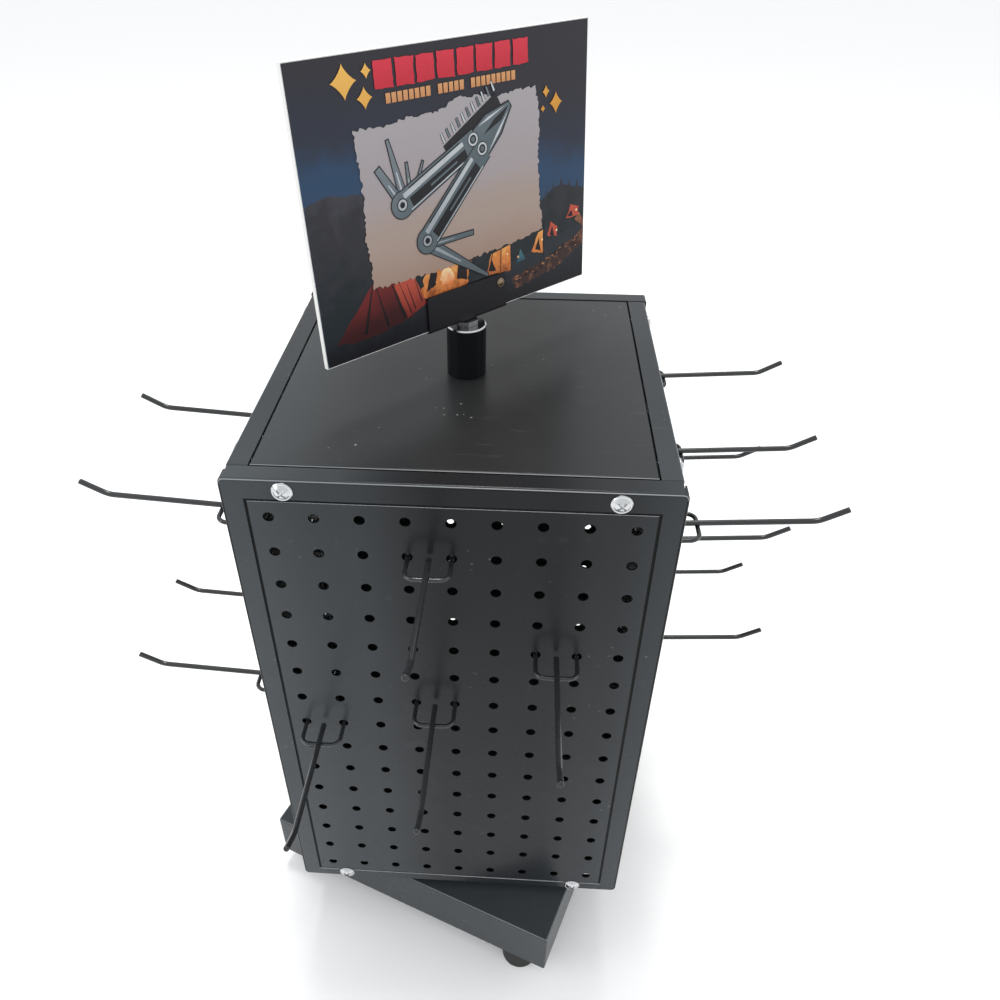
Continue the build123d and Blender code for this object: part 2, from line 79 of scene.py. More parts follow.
# Studio: a pale floor, small soft lights above and at both sides, and a pale surround
FLOOR_SIZE = 24.0
FLOOR_TONE = 0.95
FLOOR_SWING = 0.01
FLOOR_CLOUD_SCALE = 3.0
FLOOR_ROUGHNESS = 0.8
SURROUND_TONE = (0.98, 0.99, 1.0)
SURROUND_STRENGTH = 1.0
LIGHTS = (
    # name, place, size, watts, tone
    ("ceiling", (0.1, 0.75, 2.5), 0.6, 14.0, (1.0, 0.99, 0.97)),
    ("overhead", (-0.1, 0.15, 2.2), 0.26, 13.0, (1.0, 0.99, 0.98)),
    ("window_left", (-2.1, -0.9, 1.3), 1.2, 14.0, (0.95, 0.98, 1.0)),
    ("window_right", (2.2, -0.4, 1.3), 1.0, 6.0, (0.96, 0.98, 1.0)),
)

# Noise values mostly lie in this range
NOISE_RANGE = (0.3, 0.7)

# Powder coat: how fine its cloudy tone, scuffs, dust, roughness patches and orange peel are
CLOUD_SCALE = 7.0
SCUFF_SCALE = (35, 260, 35)
SCUFF_TURN = (0, 0, 0.35)
SCUFF_RANGE = (0.62, 0.78)
DUST_SCALE = 150.0
DUST_RADIUS = (0.10, 0.13)
DUST_PATCH_SCALE = 22.0
DUST_PATCH_RANGE = (0.58, 0.68)
ROUGH_PATCH_SCALE = 16.0
PEEL_SCALE = 900.0
PEEL_STRENGTH = 0.06
PEEL_HEIGHT = 0.0002

# Paint: how strongly the coat mirrors, its dark and light tones, and what lies on it
PAINT_SHINE = 0.15
WIRE_SHINE = 0.5
PANEL_TONES = linear(20, 21, 23), linear(27, 28, 30)
TRAY_TONES = linear(27, 27, 27), linear(34, 34, 34)
POST_TONES = linear(15, 17, 19), linear(20, 22, 25)
CLIP_TONES = linear(22, 22, 26), linear(28, 28, 32)
WIRE_TONES = linear(28, 30, 32), linear(42, 44, 46)
# Painted highlight: the light tones on the rounded folds of the sheet metal
FOLD_HIGHLIGHT_TONES = linear(114, 117, 120), linear(142, 145, 148)
# Painted highlight: the light tones on the lit walls of the pressed lines
LINE_HIGHLIGHT_TONES = linear(168, 171, 174), linear(196, 199, 202)
# Painted shade: the dark tones in the pressed lines, the peg holes and the tray's seams
PAINTED_SHADE_TONES = linear(5, 6, 7), linear(9, 10, 11)
SCUFF_TONE = linear(92, 95, 98)
DUST_TONE = linear(150, 150, 148)
# Pale film: painted reflection where the parts mirror more light, together with dust
REFLECTION_DUST_TONE = linear(84, 90, 94)

# Where the pale film lies on each part, as (share of the way across, strength): painted reflection,
# lighter where a part mirrors more light, together with dust
TOWER_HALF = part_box("front_panel")[1].x
TOWER_BOTTOM, TOWER_TOP = (corner.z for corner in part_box("front_panel"))
BASE_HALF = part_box("base_shell")[1].x
FRONT_REFLECTION_DUST = ((0.0, 0.46), (0.25, 0.28), (0.48, 0.0), (0.72, 0.0), (0.86, 0.1), (1.0, 0.28))
SIDE_REFLECTION_DUST = ((0.0, 0.36), (0.4, 0.24), (1.0, 0.2))
TOP_REFLECTION_DUST = ((0.0, 0.34), (0.35, 0.08), (0.6, 0.02), (1.0, 0.2))
BASE_REFLECTION_DUST = ((0.0, 0.42), (0.5, 0.36), (1.0, 0.5))
FRONT_REFLECTION_DUST_BELOW = 0.12
SIDE_REFLECTION_DUST_BELOW = 0.1
REFLECTION_DUST_DRIFT_SCALE = 5.0
REFLECTION_DUST_SWING = (0.7, 1.3)

# Metals: how fine and deep their grain is, and the base colours under it
GRAIN_FINENESS = (400, 400, 400)
GRAIN_SCALE = 3.0
GRAIN_RELIEF = 0.3
GRAIN_HEIGHT = 0.0001
BRIGHT_ZINC = (0.60, 0.61, 0.62, 1)
STUD_ZINC = (0.86, 0.86, 0.86, 1)
DULL_ZINC = (0.62, 0.62, 0.60, 1)
CLIP_BRONZE = (0.30, 0.22, 0.15, 1)
BALL_STEEL = (0.78, 0.78, 0.79, 1)

# Soft pieces: how much coarser their roughness patches are than their grain
PATCH_RATIO = 9

# Sheet edges: the lean of the part of a rounded fold given a painted highlight, from its face, and from the
# sides
FOLD_LEAN = (0.6, 0.87)
FOLD_SIDE = 0.75

# Pressed lines and peg holes, given painted highlight and painted shade: distance below the top edge,
# depths below the face, leans, and the area that parts the long facets of a line from the small facets
# of a hole's wall
TOP_MARGIN = 0.004
PRESS_DEPTH = (0.00002, 0.0007)
PRESS_RISE = 0.3
HOLE_DEPTH = 0.0012
HOLE_LEAN = 0.1
LINE_FACET = 0.00001

# The tray's bends beside its seams, painted with the seams' shadow, and the post's bevelled rim, by how
# far they face up
SEAM_RISE = (0.05, 0.97)
SEAM_FACING = 0.3
RIM_RISE = (0.3, 0.95)

# Print: the share of its brightness that an ink keeps, the satin film over it, and the outline
# round the folding tool's shapes in millimetres
INK_BRIGHTNESS = 0.82
FILM_SCALE = 30.0
FILM_ROUGH = (0.30, 0.38)
OUTLINE = 1.2

# Inks: (share, red, green, blue) tones up the face, where they start and over what length in
# millimetres, how far they lean to the right, and how strong and fine their mottle is
INKS = {
    "sky": (((0.0, 56, 70, 88), (0.42, 50, 74, 102), (0.66, 52, 56, 68), (1.0, 54, 53, 59)),
            60, 95, 0.16, 0.22, 55.0),
    "hill": (((0.0, 34, 42, 46), (0.6, 52, 52, 58), (1.0, 66, 66, 72)), 20, 75, 0.0, 1.1, 90.0),
    "ground": (((0.0, 26, 26, 32), (1.0, 44, 50, 56)), 0, 30, 0.0, 0.9, 120.0),
    "paper": (((0.0, 168, 142, 128), (0.3, 172, 154, 144), (0.62, 168, 160, 163), (1.0, 170, 165, 168)),
              34, 88, 0.0, 0.14, 45.0),
    "red": (((0.0, 196, 52, 66), (1.0, 214, 62, 78)), 133, 18, 0.0, 0.5, 300.0),
    "sand": (((0.0, 196, 136, 92), (1.0, 214, 158, 110)), 126, 8, 0.0, 0.4, 300.0),
    "gold": (((0.0, 214, 150, 62), (1.0, 236, 184, 96)), 105, 45, 0.0, 0.4, 200.0),
    "metal": (((0.0, 92, 104, 110), (0.5, 118, 128, 134), (1.0, 138, 148, 154)),
              20, 100, -0.6, 0.5, 80.0),
    "shine": (((0.0, 150, 158, 164), (1.0, 196, 200, 204)), 40, 70, 0.0, 0.6, 120.0),
    "shade": (((0.0, 30, 30, 34), (1.0, 46, 46, 50)), 30, 90, 0.0, 0.5, 150.0),
    "crimson": (((0.0, 60, 26, 28), (0.6, 112, 40, 40), (1.0, 140, 56, 48)), 8, 32, -0.2, 0.4, 110.0),
    "coral": (((0.0, 120, 42, 38), (1.0, 190, 84, 66)), 12, 24, 0.0, 0.4, 130.0),
    "amber": (((0.0, 120, 54, 30), (0.55, 216, 130, 66), (1.0, 236, 168, 96)),
              14, 26, 0.0, 1.2, 240.0),
    "glow": (((0.0, 230, 120, 50), (1.0, 255, 226, 176)), 22, 14, 0.0, 0.8, 260.0),
    "earth": (((0.0, 58, 42, 40), (0.5, 128, 84, 64), (1.0, 206, 140, 96)), 4, 24, -0.1, 2.4, 260.0),
    "ash": (((0.0, 20, 18, 22), (1.0, 40, 34, 36)), 4, 40, 0.0, 0.8, 200.0),
    "teal": (((0.0, 36, 70, 84), (1.0, 70, 118, 128)), 20, 12, 0.0, 0.5, 200.0),
}


# ---------------------------------------------------------------- camera, floor and lights

def make_camera():
    data = bpy.data.cameras.new("camera")
    data.sensor_width = CAMERA_SENSOR
    data.lens = CAMERA_LENS
    data.shift_x = CAMERA_SHIFT
    camera = bpy.data.objects.new("camera", data)
    bpy.context.scene.collection.objects.link(camera)
    turn = Matrix.Rotation(math.radians(-CAMERA_AZIMUTH), 4, "Z")
    tilt = Matrix.Rotation(math.radians(90 - CAMERA_ELEVATION), 4, "X")
    roll = Matrix.Rotation(math.radians(CAMERA_ROLL), 4, "Z")
    camera.matrix_world = Matrix.Translation(CAMERA_PLACE) @ turn @ tilt @ roll
    bpy.context.scene.camera = camera


def make_floor():
    half = FLOOR_SIZE / 2
    corners = [(-half, -half, 0), (half, -half, 0), (half, half, 0), (-half, half, 0)]
    mesh = bpy.data.meshes.new("floor")
    mesh.from_pydata(corners, [], [(0, 1, 2, 3)])
    floor = bpy.data.objects.new("floor", mesh)
    bpy.context.scene.collection.objects.link(floor)
    material, tree, shader = new_surface("floor")
    inputs = {"Vector": object_place(tree), "Scale": FLOOR_CLOUD_SCALE, "Detail": 3.0}
    cloud = put(tree, "ShaderNodeTexNoise", inputs)
    pale = (FLOOR_TONE, FLOOR_TONE, FLOOR_TONE, 1)
    paler = (FLOOR_TONE + FLOOR_SWING, FLOOR_TONE + FLOOR_SWING, FLOOR_TONE + FLOOR_SWING, 1)
    tone = mix(tree, cloud.outputs["Fac"], pale, paler)
    tree.links.new(tone, shader.inputs["Base Color"])
    shader.inputs["Roughness"].default_value = FLOOR_ROUGHNESS
    floor.data.materials.append(material)


def make_lights():
    world = bpy.data.worlds.new("surround")
    world.use_nodes = True
    background = world.node_tree.nodes["Background"]
    background.inputs["Color"].default_value = (*SURROUND_TONE, 1)
    background.inputs["Strength"].default_value = SURROUND_STRENGTH
    bpy.context.scene.world = world
    low, high = cad_bounds
    target = (low + high) / 2
    for name, place, size, watts, tone in LIGHTS:
        data = bpy.data.lights.new(name, "AREA")
        data.shape = "DISK"
        data.size = size
        data.energy = watts
        data.color = tone
        light = bpy.data.objects.new(name, data)
        light.location = place
        light.rotation_mode = "QUATERNION"
        light.rotation_quaternion = (target - Vector(place)).to_track_quat("-Z", "Y")
        bpy.context.scene.collection.objects.link(light)
    bpy.context.scene.view_settings.view_transform = "Standard"


# ---------------------------------------------------------------- shader building blocks

def new_surface(name):
    """A material with only a Principled shader in it: (material, node tree, shader)."""
    material = bpy.data.materials.new(name)
    material.use_nodes = True
    tree = material.node_tree
    shader = next(n for n in tree.nodes if n.type == "BSDF_PRINCIPLED")
    return material, tree, shader


def put(tree, kind, inputs=None, **settings):
    """Add a node. An input given as a socket is linked, and any other is set."""
    node = tree.nodes.new(kind)
    for key, value in settings.items():
        setattr(node, key, value)
    for key, value in (inputs or {}).items():
        if isinstance(value, bpy.types.NodeSocket):
            tree.links.new(value, node.inputs[key])
        else:
            node.inputs[key].default_value = value
    return node


def object_place(tree):
    return put(tree, "ShaderNodeTexCoord").outputs["Object"]


def mix(tree, share, first, second):
    """The colour between two colours or colour sockets."""
    factor, first_colour, second_colour, result = 0, 6, 7, 2
    inputs = {factor: share, first_colour: first, second_colour: second}
    return put(tree, "ShaderNodeMix", inputs, data_type="RGBA").outputs[result]


def maths(tree, operation, first, second, clamp=False):
    inputs = {0: first, 1: second}
    return put(tree, "ShaderNodeMath", inputs, operation=operation, use_clamp=clamp).outputs[0]


def ramp(tree, value, stops, smooth=False):
    """A colour ramp over (position, colour) stops; a plain number stands for a grey."""
    node = put(tree, "ShaderNodeValToRGB", {"Fac": value})
    if smooth:
        node.color_ramp.interpolation = "EASE"
    elements = node.color_ramp.elements
    while len(elements) < len(stops):
        elements.new(0.5)
    for element, (position, colour) in zip(elements, stops):
        element.position = position
        element.color = colour if isinstance(colour, tuple) else (colour, colour, colour, 1)
    return node.outputs["Color"]


def spread(tree, value, low, high):
    """A noise value's usual range, turned into a range from low to high."""
    return ramp(tree, value, ((NOISE_RANGE[0], low), (NOISE_RANGE[1], high)))


def stretched(tree, scale, turn=(0, 0, 0)):
    """Object coordinates scaled differently along each axis."""
    inputs = {"Vector": object_place(tree), "Scale": scale, "Rotation": turn}
    return put(tree, "ShaderNodeMapping", inputs).outputs["Vector"]


def noise(tree, place, scale, detail=3.0, roughness=0.55):
    inputs = {"Vector": place, "Scale": scale, "Detail": detail, "Roughness": roughness}
    return put(tree, "ShaderNodeTexNoise", inputs).outputs["Fac"]


def relief(tree, shader, height, strength, distance):
    inputs = {"Height": height, "Strength": strength, "Distance": distance}
    node = put(tree, "ShaderNodeBump", inputs)
    tree.links.new(node.outputs["Normal"], shader.inputs["Normal"])


# ---------------------------------------------------------------- materials

def powder_paint(name, tones, rough, scuffs=0.0, dust=0.0, reflection_and_dust=None, shine=PAINT_SHINE):
    """Satin black powder coat: cloudy tone, fine orange peel, faint scuffs and dust specks.

    Tones and rough are pairs, from low to high. The pale-film function, of the node tree and the
    place, gives the share of a pale film: painted reflection together with dust.
    """
    material, tree, shader = new_surface(name)
    place = object_place(tree)
    cloud = noise(tree, place, CLOUD_SCALE, 4.0)
    tone = mix(tree, spread(tree, cloud, 0.0, 1.0), *tones)
    if reflection_and_dust:
        tone = mix(tree, reflection_and_dust(tree, place), tone, REFLECTION_DUST_TONE)
    streak = noise(tree, stretched(tree, SCUFF_SCALE, SCUFF_TURN), 1.0, 5.0, 0.7)
    scuff = ramp(tree, streak, ((SCUFF_RANGE[0], 0.0), (SCUFF_RANGE[1], scuffs)))
    tone = mix(tree, scuff, tone, SCUFF_TONE)
    cell = put(tree, "ShaderNodeTexVoronoi", {"Vector": place, "Scale": DUST_SCALE})
    stops = (0.0, dust), (DUST_RADIUS[0], dust), (DUST_RADIUS[1], 0.0)
    speck = ramp(tree, cell.outputs["Distance"], stops)
    patch = noise(tree, place, DUST_PATCH_SCALE, 2.0)
    sparse = ramp(tree, patch, ((DUST_PATCH_RANGE[0], 0.0), (DUST_PATCH_RANGE[1], 1.0)))
    tone = mix(tree, maths(tree, "MULTIPLY", speck, sparse), tone, DUST_TONE)
    tree.links.new(tone, shader.inputs["Base Color"])
    patchy = noise(tree, place, ROUGH_PATCH_SCALE, 5.0, 0.65)
    tree.links.new(spread(tree, patchy, *rough), shader.inputs["Roughness"])
    shader.inputs["Specular IOR Level"].default_value = shine
    relief(tree, shader, noise(tree, place, PEEL_SCALE, 2.0), PEEL_STRENGTH, PEEL_HEIGHT)
    return material


def reflection_and_dust_along(axis, half, stops, below=0.0):
    """A pale film, painted reflection together with dust, that follows the stops across a part along
    one axis and grows towards the floor.
    """
    def reflection_and_dust(tree, place):
        parts = put(tree, "ShaderNodeSeparateXYZ", {"Vector": place}).outputs
        limits = {"Value": parts[axis], "From Min": -half, "From Max": half}
        share = put(tree, "ShaderNodeMapRange", limits).outputs["Result"]
        across = ramp(tree, share, stops, smooth=True)
        limits = {"Value": parts["Z"], "From Min": TOWER_TOP, "From Max": TOWER_BOTTOM, "To Max": below}
        down = put(tree, "ShaderNodeMapRange", limits).outputs["Result"]
        drift = noise(tree, place, REFLECTION_DUST_DRIFT_SCALE, 4.0, 0.6)
        limits = {"Value": drift, "To Min": REFLECTION_DUST_SWING[0], "To Max": REFLECTION_DUST_SWING[1]}
        swing = put(tree, "ShaderNodeMapRange", limits).outputs["Result"]
        total = maths(tree, "ADD", across, down)
        return maths(tree, "MULTIPLY", total, swing, clamp=True)
    return reflection_and_dust


def plated_steel(name, tone, rough, depth):
    """Zinc-plated or polished steel with a fine grain that darkens it by a share."""
    material, tree, shader = new_surface(name)
    grain = noise(tree, stretched(tree, GRAIN_FINENESS), GRAIN_SCALE, 4.0)
    darker = tuple((1 - depth) * c for c in tone[:3]) + (1,)
    tree.links.new(mix(tree, grain, darker, tone), shader.inputs["Base Color"])
    tree.links.new(spread(tree, grain, *rough), shader.inputs["Roughness"])
    shader.inputs["Metallic"].default_value = 1.0
    relief(tree, shader, grain, GRAIN_RELIEF * depth, GRAIN_HEIGHT)
    return material


def matte_stuff(name, tones, scale, rough, strength, distance):
    """Rubber, plastic or foam board: two close tones in a fine mottled grain."""
    material, tree, shader = new_surface(name)
    place = object_place(tree)
    grain = noise(tree, place, scale, 5.0)
    tree.links.new(mix(tree, grain, *tones), shader.inputs["Base Color"])
    patchy = noise(tree, place, scale / PATCH_RATIO, 3.0)
    tree.links.new(spread(tree, patchy, *rough), shader.inputs["Roughness"])
    relief(tree, shader, grain, strength, distance)
    return material


# ---------------------------------------------------------------- dressing the CAD nodes

def dress(material, *names):
    """Give CAD nodes a material."""
    for name in names:
        slots = nodes[name].data.materials
        slots.clear()
        slots.append(material)


def mark_faces(name, material, wanted):
    """Give the faces of a CAD node that pass a test a material of their own."""
    mesh = nodes[name].data
    mesh.materials.append(material)
    for polygon in mesh.polygons:
        if wanted(polygon):
            polygon.material_index = len(mesh.materials) - 1


def paint_edge_highlights_and_shade(name, axis, fold_highlight, line_highlight, shade):
    """Paint a highlight on the rounded folds round a face and below its pressed lines.

    Painted shade darkens the floor of each pressed line and the walls of the peg holes.
    """
    mesh = nodes[name].data
    face = max(v.co.dot(axis) for v in mesh.vertices)
    top = max(v.co.z for v in mesh.vertices)

    # Faces of a fold that get the painted highlight
    def highlit_fold(polygon):
        lean = polygon.normal.dot(axis)
        return FOLD_LEAN[0] < lean < FOLD_LEAN[1] and abs(polygon.normal.x) < FOLD_SIDE

    def sunk(polygon, deepest):
        depth = face - polygon.center.dot(axis)
        return polygon.center.z < top - TOP_MARGIN and PRESS_DEPTH[0] < depth < deepest

    # Walls of a pressed line that get the painted highlight
    def highlit_line_wall(polygon):
        rising = polygon.normal.z > PRESS_RISE and polygon.area > LINE_FACET
        return rising and sunk(polygon, PRESS_DEPTH[1])

    # Floor of a pressed line, which gets painted shade
    def shaded_line_floor(polygon):
        return polygon.normal.dot(axis) > PRESS_RISE and sunk(polygon, PRESS_DEPTH[1])

    # Walls of a peg hole, which get painted shade
    def shaded_hole_wall(polygon):
        sideways = abs(polygon.normal.dot(axis)) < HOLE_LEAN and polygon.area < LINE_FACET
        return sideways and sunk(polygon, HOLE_DEPTH)

    mark_faces(name, fold_highlight, highlit_fold)
    if axis.z == 0:
        # Painted highlight on the pressed lines' walls
        mark_faces(name, line_highlight, highlit_line_wall)
        # Painted shade in the pressed lines and the peg holes
        mark_faces(name, shade, lambda p: shaded_line_floor(p) or shaded_hole_wall(p))


def seam_shadow_bend(polygon):
    """The top tray's bends beside its seams, given painted shade for the seams' shadow; at front and
    rear their upper part keeps the painted highlight.
    """
    highest = FOLD_LEAN[0] if abs(polygon.normal.y) > SEAM_FACING else SEAM_RISE[1]
    return SEAM_RISE[0] < polygon.normal.z < highest


def post_rim(polygon):
    return RIM_RISE[0] < polygon.normal.z < RIM_RISE[1]


def dress_sheet_metal():
    front = reflection_and_dust_along("X", TOWER_HALF, FRONT_REFLECTION_DUST, FRONT_REFLECTION_DUST_BELOW)
    side = reflection_and_dust_along("Y", TOWER_HALF, SIDE_REFLECTION_DUST, SIDE_REFLECTION_DUST_BELOW)
    top = reflection_and_dust_along("X", TOWER_HALF, TOP_REFLECTION_DUST)
    base = reflection_and_dust_along("X", BASE_HALF, BASE_REFLECTION_DUST)
    dress(powder_paint("front_paint", PANEL_TONES, (0.22, 0.32), 0.2, 0.25, front), "front_panel")
    panel = powder_paint("panel_paint", PANEL_TONES, (0.24, 0.34), 0.25, 0.3, side)
    dress(panel, "rear_panel", "left_panel", "right_panel", "bottom_tray")
    dress(powder_paint("tray_paint", TRAY_TONES, (0.26, 0.38), 0.3, 0.7, top), "top_tray")
    dress(powder_paint("base_paint", PANEL_TONES, (0.24, 0.34), 0.25, 0.35, base), "base_shell")

    # Painted highlight for the rounded folds
    fold_highlight = powder_paint("painted_fold_highlight", FOLD_HIGHLIGHT_TONES, (0.16, 0.26), 0.2)
    # Painted highlight for the walls of the pressed lines
    line_highlight = powder_paint("painted_line_highlight", LINE_HIGHLIGHT_TONES, (0.16, 0.26), 0.2)
    # Painted shade for the pressed lines' floors, the peg-hole walls and the tray's seams
    shade = powder_paint("painted_shade", PAINTED_SHADE_TONES, (0.5, 0.6))
    faces = {"front_panel": (0, -1, 0), "rear_panel": (0, 1, 0), "left_panel": (-1, 0, 0),
             "right_panel": (1, 0, 0), "top_tray": (0, 0, 1), "base_shell": (0, 0, 1)}
    for name, axis in faces.items():
        paint_edge_highlights_and_shade(name, Vector(axis), fold_highlight, line_highlight, shade)
    # Painted shadow on the tray's bends beside its seams
    mark_faces("top_tray", shade, seam_shadow_bend)


def dress_hooks():
    wire = powder_paint("hook_paint", WIRE_TONES, (0.18, 0.28), 0.25, 0.1, shine=WIRE_SHINE)
    dress(wire, *[name for name in nodes if name.startswith("hook_")])


def dress_metal_pieces():
    bright = plated_steel("bright_zinc", BRIGHT_ZINC, (0.16, 0.24), 0.12)
    dress(bright, "panel_screws", "rivet_nuts")
    zinc = plated_steel("zinc", DULL_ZINC, (0.28, 0.45), 0.28)
    dress(zinc, "foot_screws", "lower_race", "upper_race", "lower_race_screws", "upper_race_screws",
          "pivot_bolt", "pivot_washer", "pivot_nut", "post_bolt", "post_washer")
    dress(plated_steel("polished_balls", BALL_STEEL, (0.06, 0.12), 0.05), "bearing_balls")

    dress(powder_paint("post_paint", POST_TONES, (0.18, 0.26), 0.1, 0.1), "sign_post")
    mark_faces("sign_post", bright, post_rim)
    dress(plated_steel("stud_zinc", STUD_ZINC, (0.12, 0.2), 0.2), "clip_stud")
    dress(powder_paint("clip_paint", CLIP_TONES, (0.30, 0.40), 0.2, 0.2), "sign_clip")
    dress(plated_steel("clip_bronze", CLIP_BRONZE, (0.26, 0.36), 0.3), "clip_screw")


def dress_soft_pieces():
    cage_tones = linear(196, 190, 176), linear(212, 207, 194)
    dress(matte_stuff("cage_plastic", cage_tones, 500, (0.44, 0.56), 0.1, 0.0001), "ball_cage")
    feet = [name for name in nodes if name.startswith("foot_") and name != "foot_screws"]
    rubber_tones = linear(22, 22, 23), linear(34, 34, 35)
    dress(matte_stuff("foot_rubber", rubber_tones, 700, (0.60, 0.72), 0.3, 0.0002), *feet)
    foam_tones = linear(206, 206, 204), linear(224, 224, 222)
    dress(matte_stuff("foam_board", foam_tones, 900, (0.54, 0.66), 0.12, 0.0001), "sign_board")


# ---------------------------------------------------------------- the sign's face and its inks

class Face:
    """The printed face: millimetres to the right and up from its lower left corner."""

    def __init__(self, sheet, board):
        centres = [sum(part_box(name), Vector()) / 2 for name in (board, sheet)]
        self.out = (centres[1] - centres[0]).normalized()
        self.right = Vector((0, 0, 1)).cross(self.out).normalized()
        self.up = self.out.cross(self.right)
        points = [v.co for v in nodes[sheet].data.vertices]
        left = min(p.dot(self.right) for p in points)
        bottom = min(p.dot(self.up) for p in points)
        front = max(p.dot(self.out) for p in points)
        self.corner = self.right * left + self.up * bottom + self.out * front
        self.width = (max(p.dot(self.right) for p in points) - left) / MM
        self.height = (max(p.dot(self.up) for p in points) - bottom) / MM

    def point(self, x, y, lift):
        return self.corner + (self.right * x + self.up * y + self.out * lift) * MM

    def rising(self, tree, start, length, lean):
        """A 0-1 socket that grows up the face, leaning to the right, in millimetres."""
        direction = self.right * lean + self.up
        inputs = {0: object_place(tree), 1: direction}
        dot = put(tree, "ShaderNodeVectorMath", inputs, operation="DOT_PRODUCT")
        first = self.corner.dot(direction) + start * MM
        inputs = {"Value": dot.outputs["Value"], "From Min": first, "From Max": first + length * MM}
        return put(tree, "ShaderNodeMapRange", inputs).outputs["Result"]


def printed(face, name, tones, start, length, lean, mottle, scale):
    """Printed ink under a satin film: a gradient of tones with a soft mottle."""
    material, tree, shader = new_surface("print_" + name)
    place = object_place(tree)
    cloud = noise(tree, place, scale, 5.0, 0.6)
    swing = maths(tree, "MULTIPLY", maths(tree, "ADD", cloud, -0.5), mottle)
    value = maths(tree, "ADD", face.rising(tree, start, length, lean), swing)
    stops = [(share, tuple(INK_BRIGHTNESS * c for c in linear(*rgb)[:3]) + (1,)) for share, *rgb in tones]
    tree.links.new(ramp(tree, value, stops, smooth=True), shader.inputs["Base Color"])
    film = spread(tree, noise(tree, place, FILM_SCALE), *FILM_ROUGH)
    tree.links.new(film, shader.inputs["Roughness"])
    shader.inputs["Specular IOR Level"].default_value = PAINT_SHINE
    return material


# ---------------------------------------------------------------- outlines on the sign

def ragged(corners, step, swing, seed, slip=0.3):
    """A closed outline with torn-looking edges between its corners."""
    chance = random.Random(seed)
    outline = []
    for (x0, y0), (x1, y1) in zip(corners, corners[1:] + corners[:1]):
        length = math.hypot(x1 - x0, y1 - y0)
        count = max(1, round(length / step))
        for i in range(count):
            share = i / count
            off = chance.uniform(-swing, swing)
            along = chance.uniform(-slip, slip) * step
            x = x0 + (x1 - x0) * share + (along * (x1 - x0) - off * (y1 - y0)) / length
            y = y0 + (y1 - y0) * share + (along * (y1 - y0) + off * (x1 - x0)) / length
            outline.append((x, y))
    return outline


def sparkle(x, y, half_width, half_height, points_per_side=7, pinch=2.6):
    """A four-pointed star with concave sides."""
    outline = []
    for i in range(4 * points_per_side):
        angle = math.tau * i / (4 * points_per_side)
        c, s = math.cos(angle), math.sin(angle)
        outline.append((x + half_width * abs(c) ** pinch * math.copysign(1, c),
                        y + half_height * abs(s) ** pinch * math.copysign(1, s)))
    return outline


def disc(x, y, radius, count=20):
    return [(x + radius * math.cos(math.tau * i / count), y + radius * math.sin(math.tau * i / count))
            for i in range(count)]


def block(x, y, width, height):
    return [(x, y), (x + width, y), (x + width, y + height), (x, y + height)]


def bar(x0, y0, x1, y1, width_start, width_end=None, overrun=0.0):
    """A straight tapered strip between two points."""
    width_end = width_start if width_end is None else width_end
    length = math.hypot(x1 - x0, y1 - y0)
    dx, dy = (x1 - x0) / length, (y1 - y0) / length
    x0, y0, x1, y1 = x0 - dx * overrun, y0 - dy * overrun, x1 + dx * overrun, y1 + dy * overrun
    a, b = width_start / 2, width_end / 2
    return [(x0 + dy * a, y0 - dx * a), (x1 + dy * b, y1 - dx * b),
            (x1 - dy * b, y1 + dx * b), (x0 - dy * a, y0 + dx * a)]


class Picture:
    """Flat printed shapes stacked in front of the sign's sheet, as one mesh.

    Each shape lies one layer, in millimetres, in front of the last.
    """

    LAYER = 0.004

    def __init__(self, face, inks):
        self.face = face
        self.inks = inks
        self.points = []
        self.faces = []
        self.slots = []
        self.materials = []
        self.layer = 1

    def add(self, outline, ink):
        material = self.inks[ink]
        if material not in self.materials:
            self.materials.append(material)
        width, height = self.face.width, self.face.height
        inside = [(min(max(x, 0), width), min(max(y, 0), height)) for x, y in outline]
        first = len(self.points)
        self.points += [self.face.point(x, y, self.layer * self.LAYER) for x, y in inside]
        for triangle in tessellate_polygon([[Vector((x, y, 0)) for x, y in inside]]):
            self.faces.append([first + i for i in triangle])
            self.slots.append(self.materials.index(material))
        self.layer += 1

    def finish(self, name):
        mesh = bpy.data.meshes.new(name)
        mesh.from_pydata(self.points, [], self.faces)
        for polygon, slot in zip(mesh.polygons, self.slots):
            polygon.material_index = slot
            if polygon.normal.dot(self.face.out) < 0:
                polygon.flip()
        for material in self.materials:
            mesh.materials.append(material)
        piece = bpy.data.objects.new(name, mesh)
        bpy.context.scene.collection.objects.link(piece)
        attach(piece, "sign")


# ---------------------------------------------------------------- the sign's picture

def draw_land(picture):
    """A wooded ridge, the ground in front of it and a stony path up the slope."""
    ridge = [(0, 0), (205, 0), (205, 58), (196, 60), (184, 64), (175, 62), (166, 57), (120, 66), (80, 80),
             (52, 85), (36, 88), (23, 89), (12, 91), (0, 88)]
    picture.add(ragged(ridge, 3.0, 0.5, 1), "hill")
    ground = [(0, 0), (205, 0), (205, 36), (190, 34), (166, 30), (140, 25), (104, 22), (70, 24), (40, 18),
              (0, 12)]
    picture.add(ragged(ground, 3.0, 0.6, 2), "ground")
    path = [(139, 15), (170, 19), (204, 31), (204, 22), (176, 11), (142, 7)]
    picture.add(ragged(path, 2.5, 0.9, 3), "earth")
    picture.add(ragged([(196, 40), (200, 43), (204, 37), (204, 31)], 2.0, 0.6, 31), "earth")
    for x, y in ((170, 59), (176, 63), (183, 65), (190, 62), (197, 61), (112, 68), (120, 67)):
        picture.add([(x - 2.2, y - 6), (x + 2.2, y - 6), (x + 0.3, y + 3.5)], "hill")


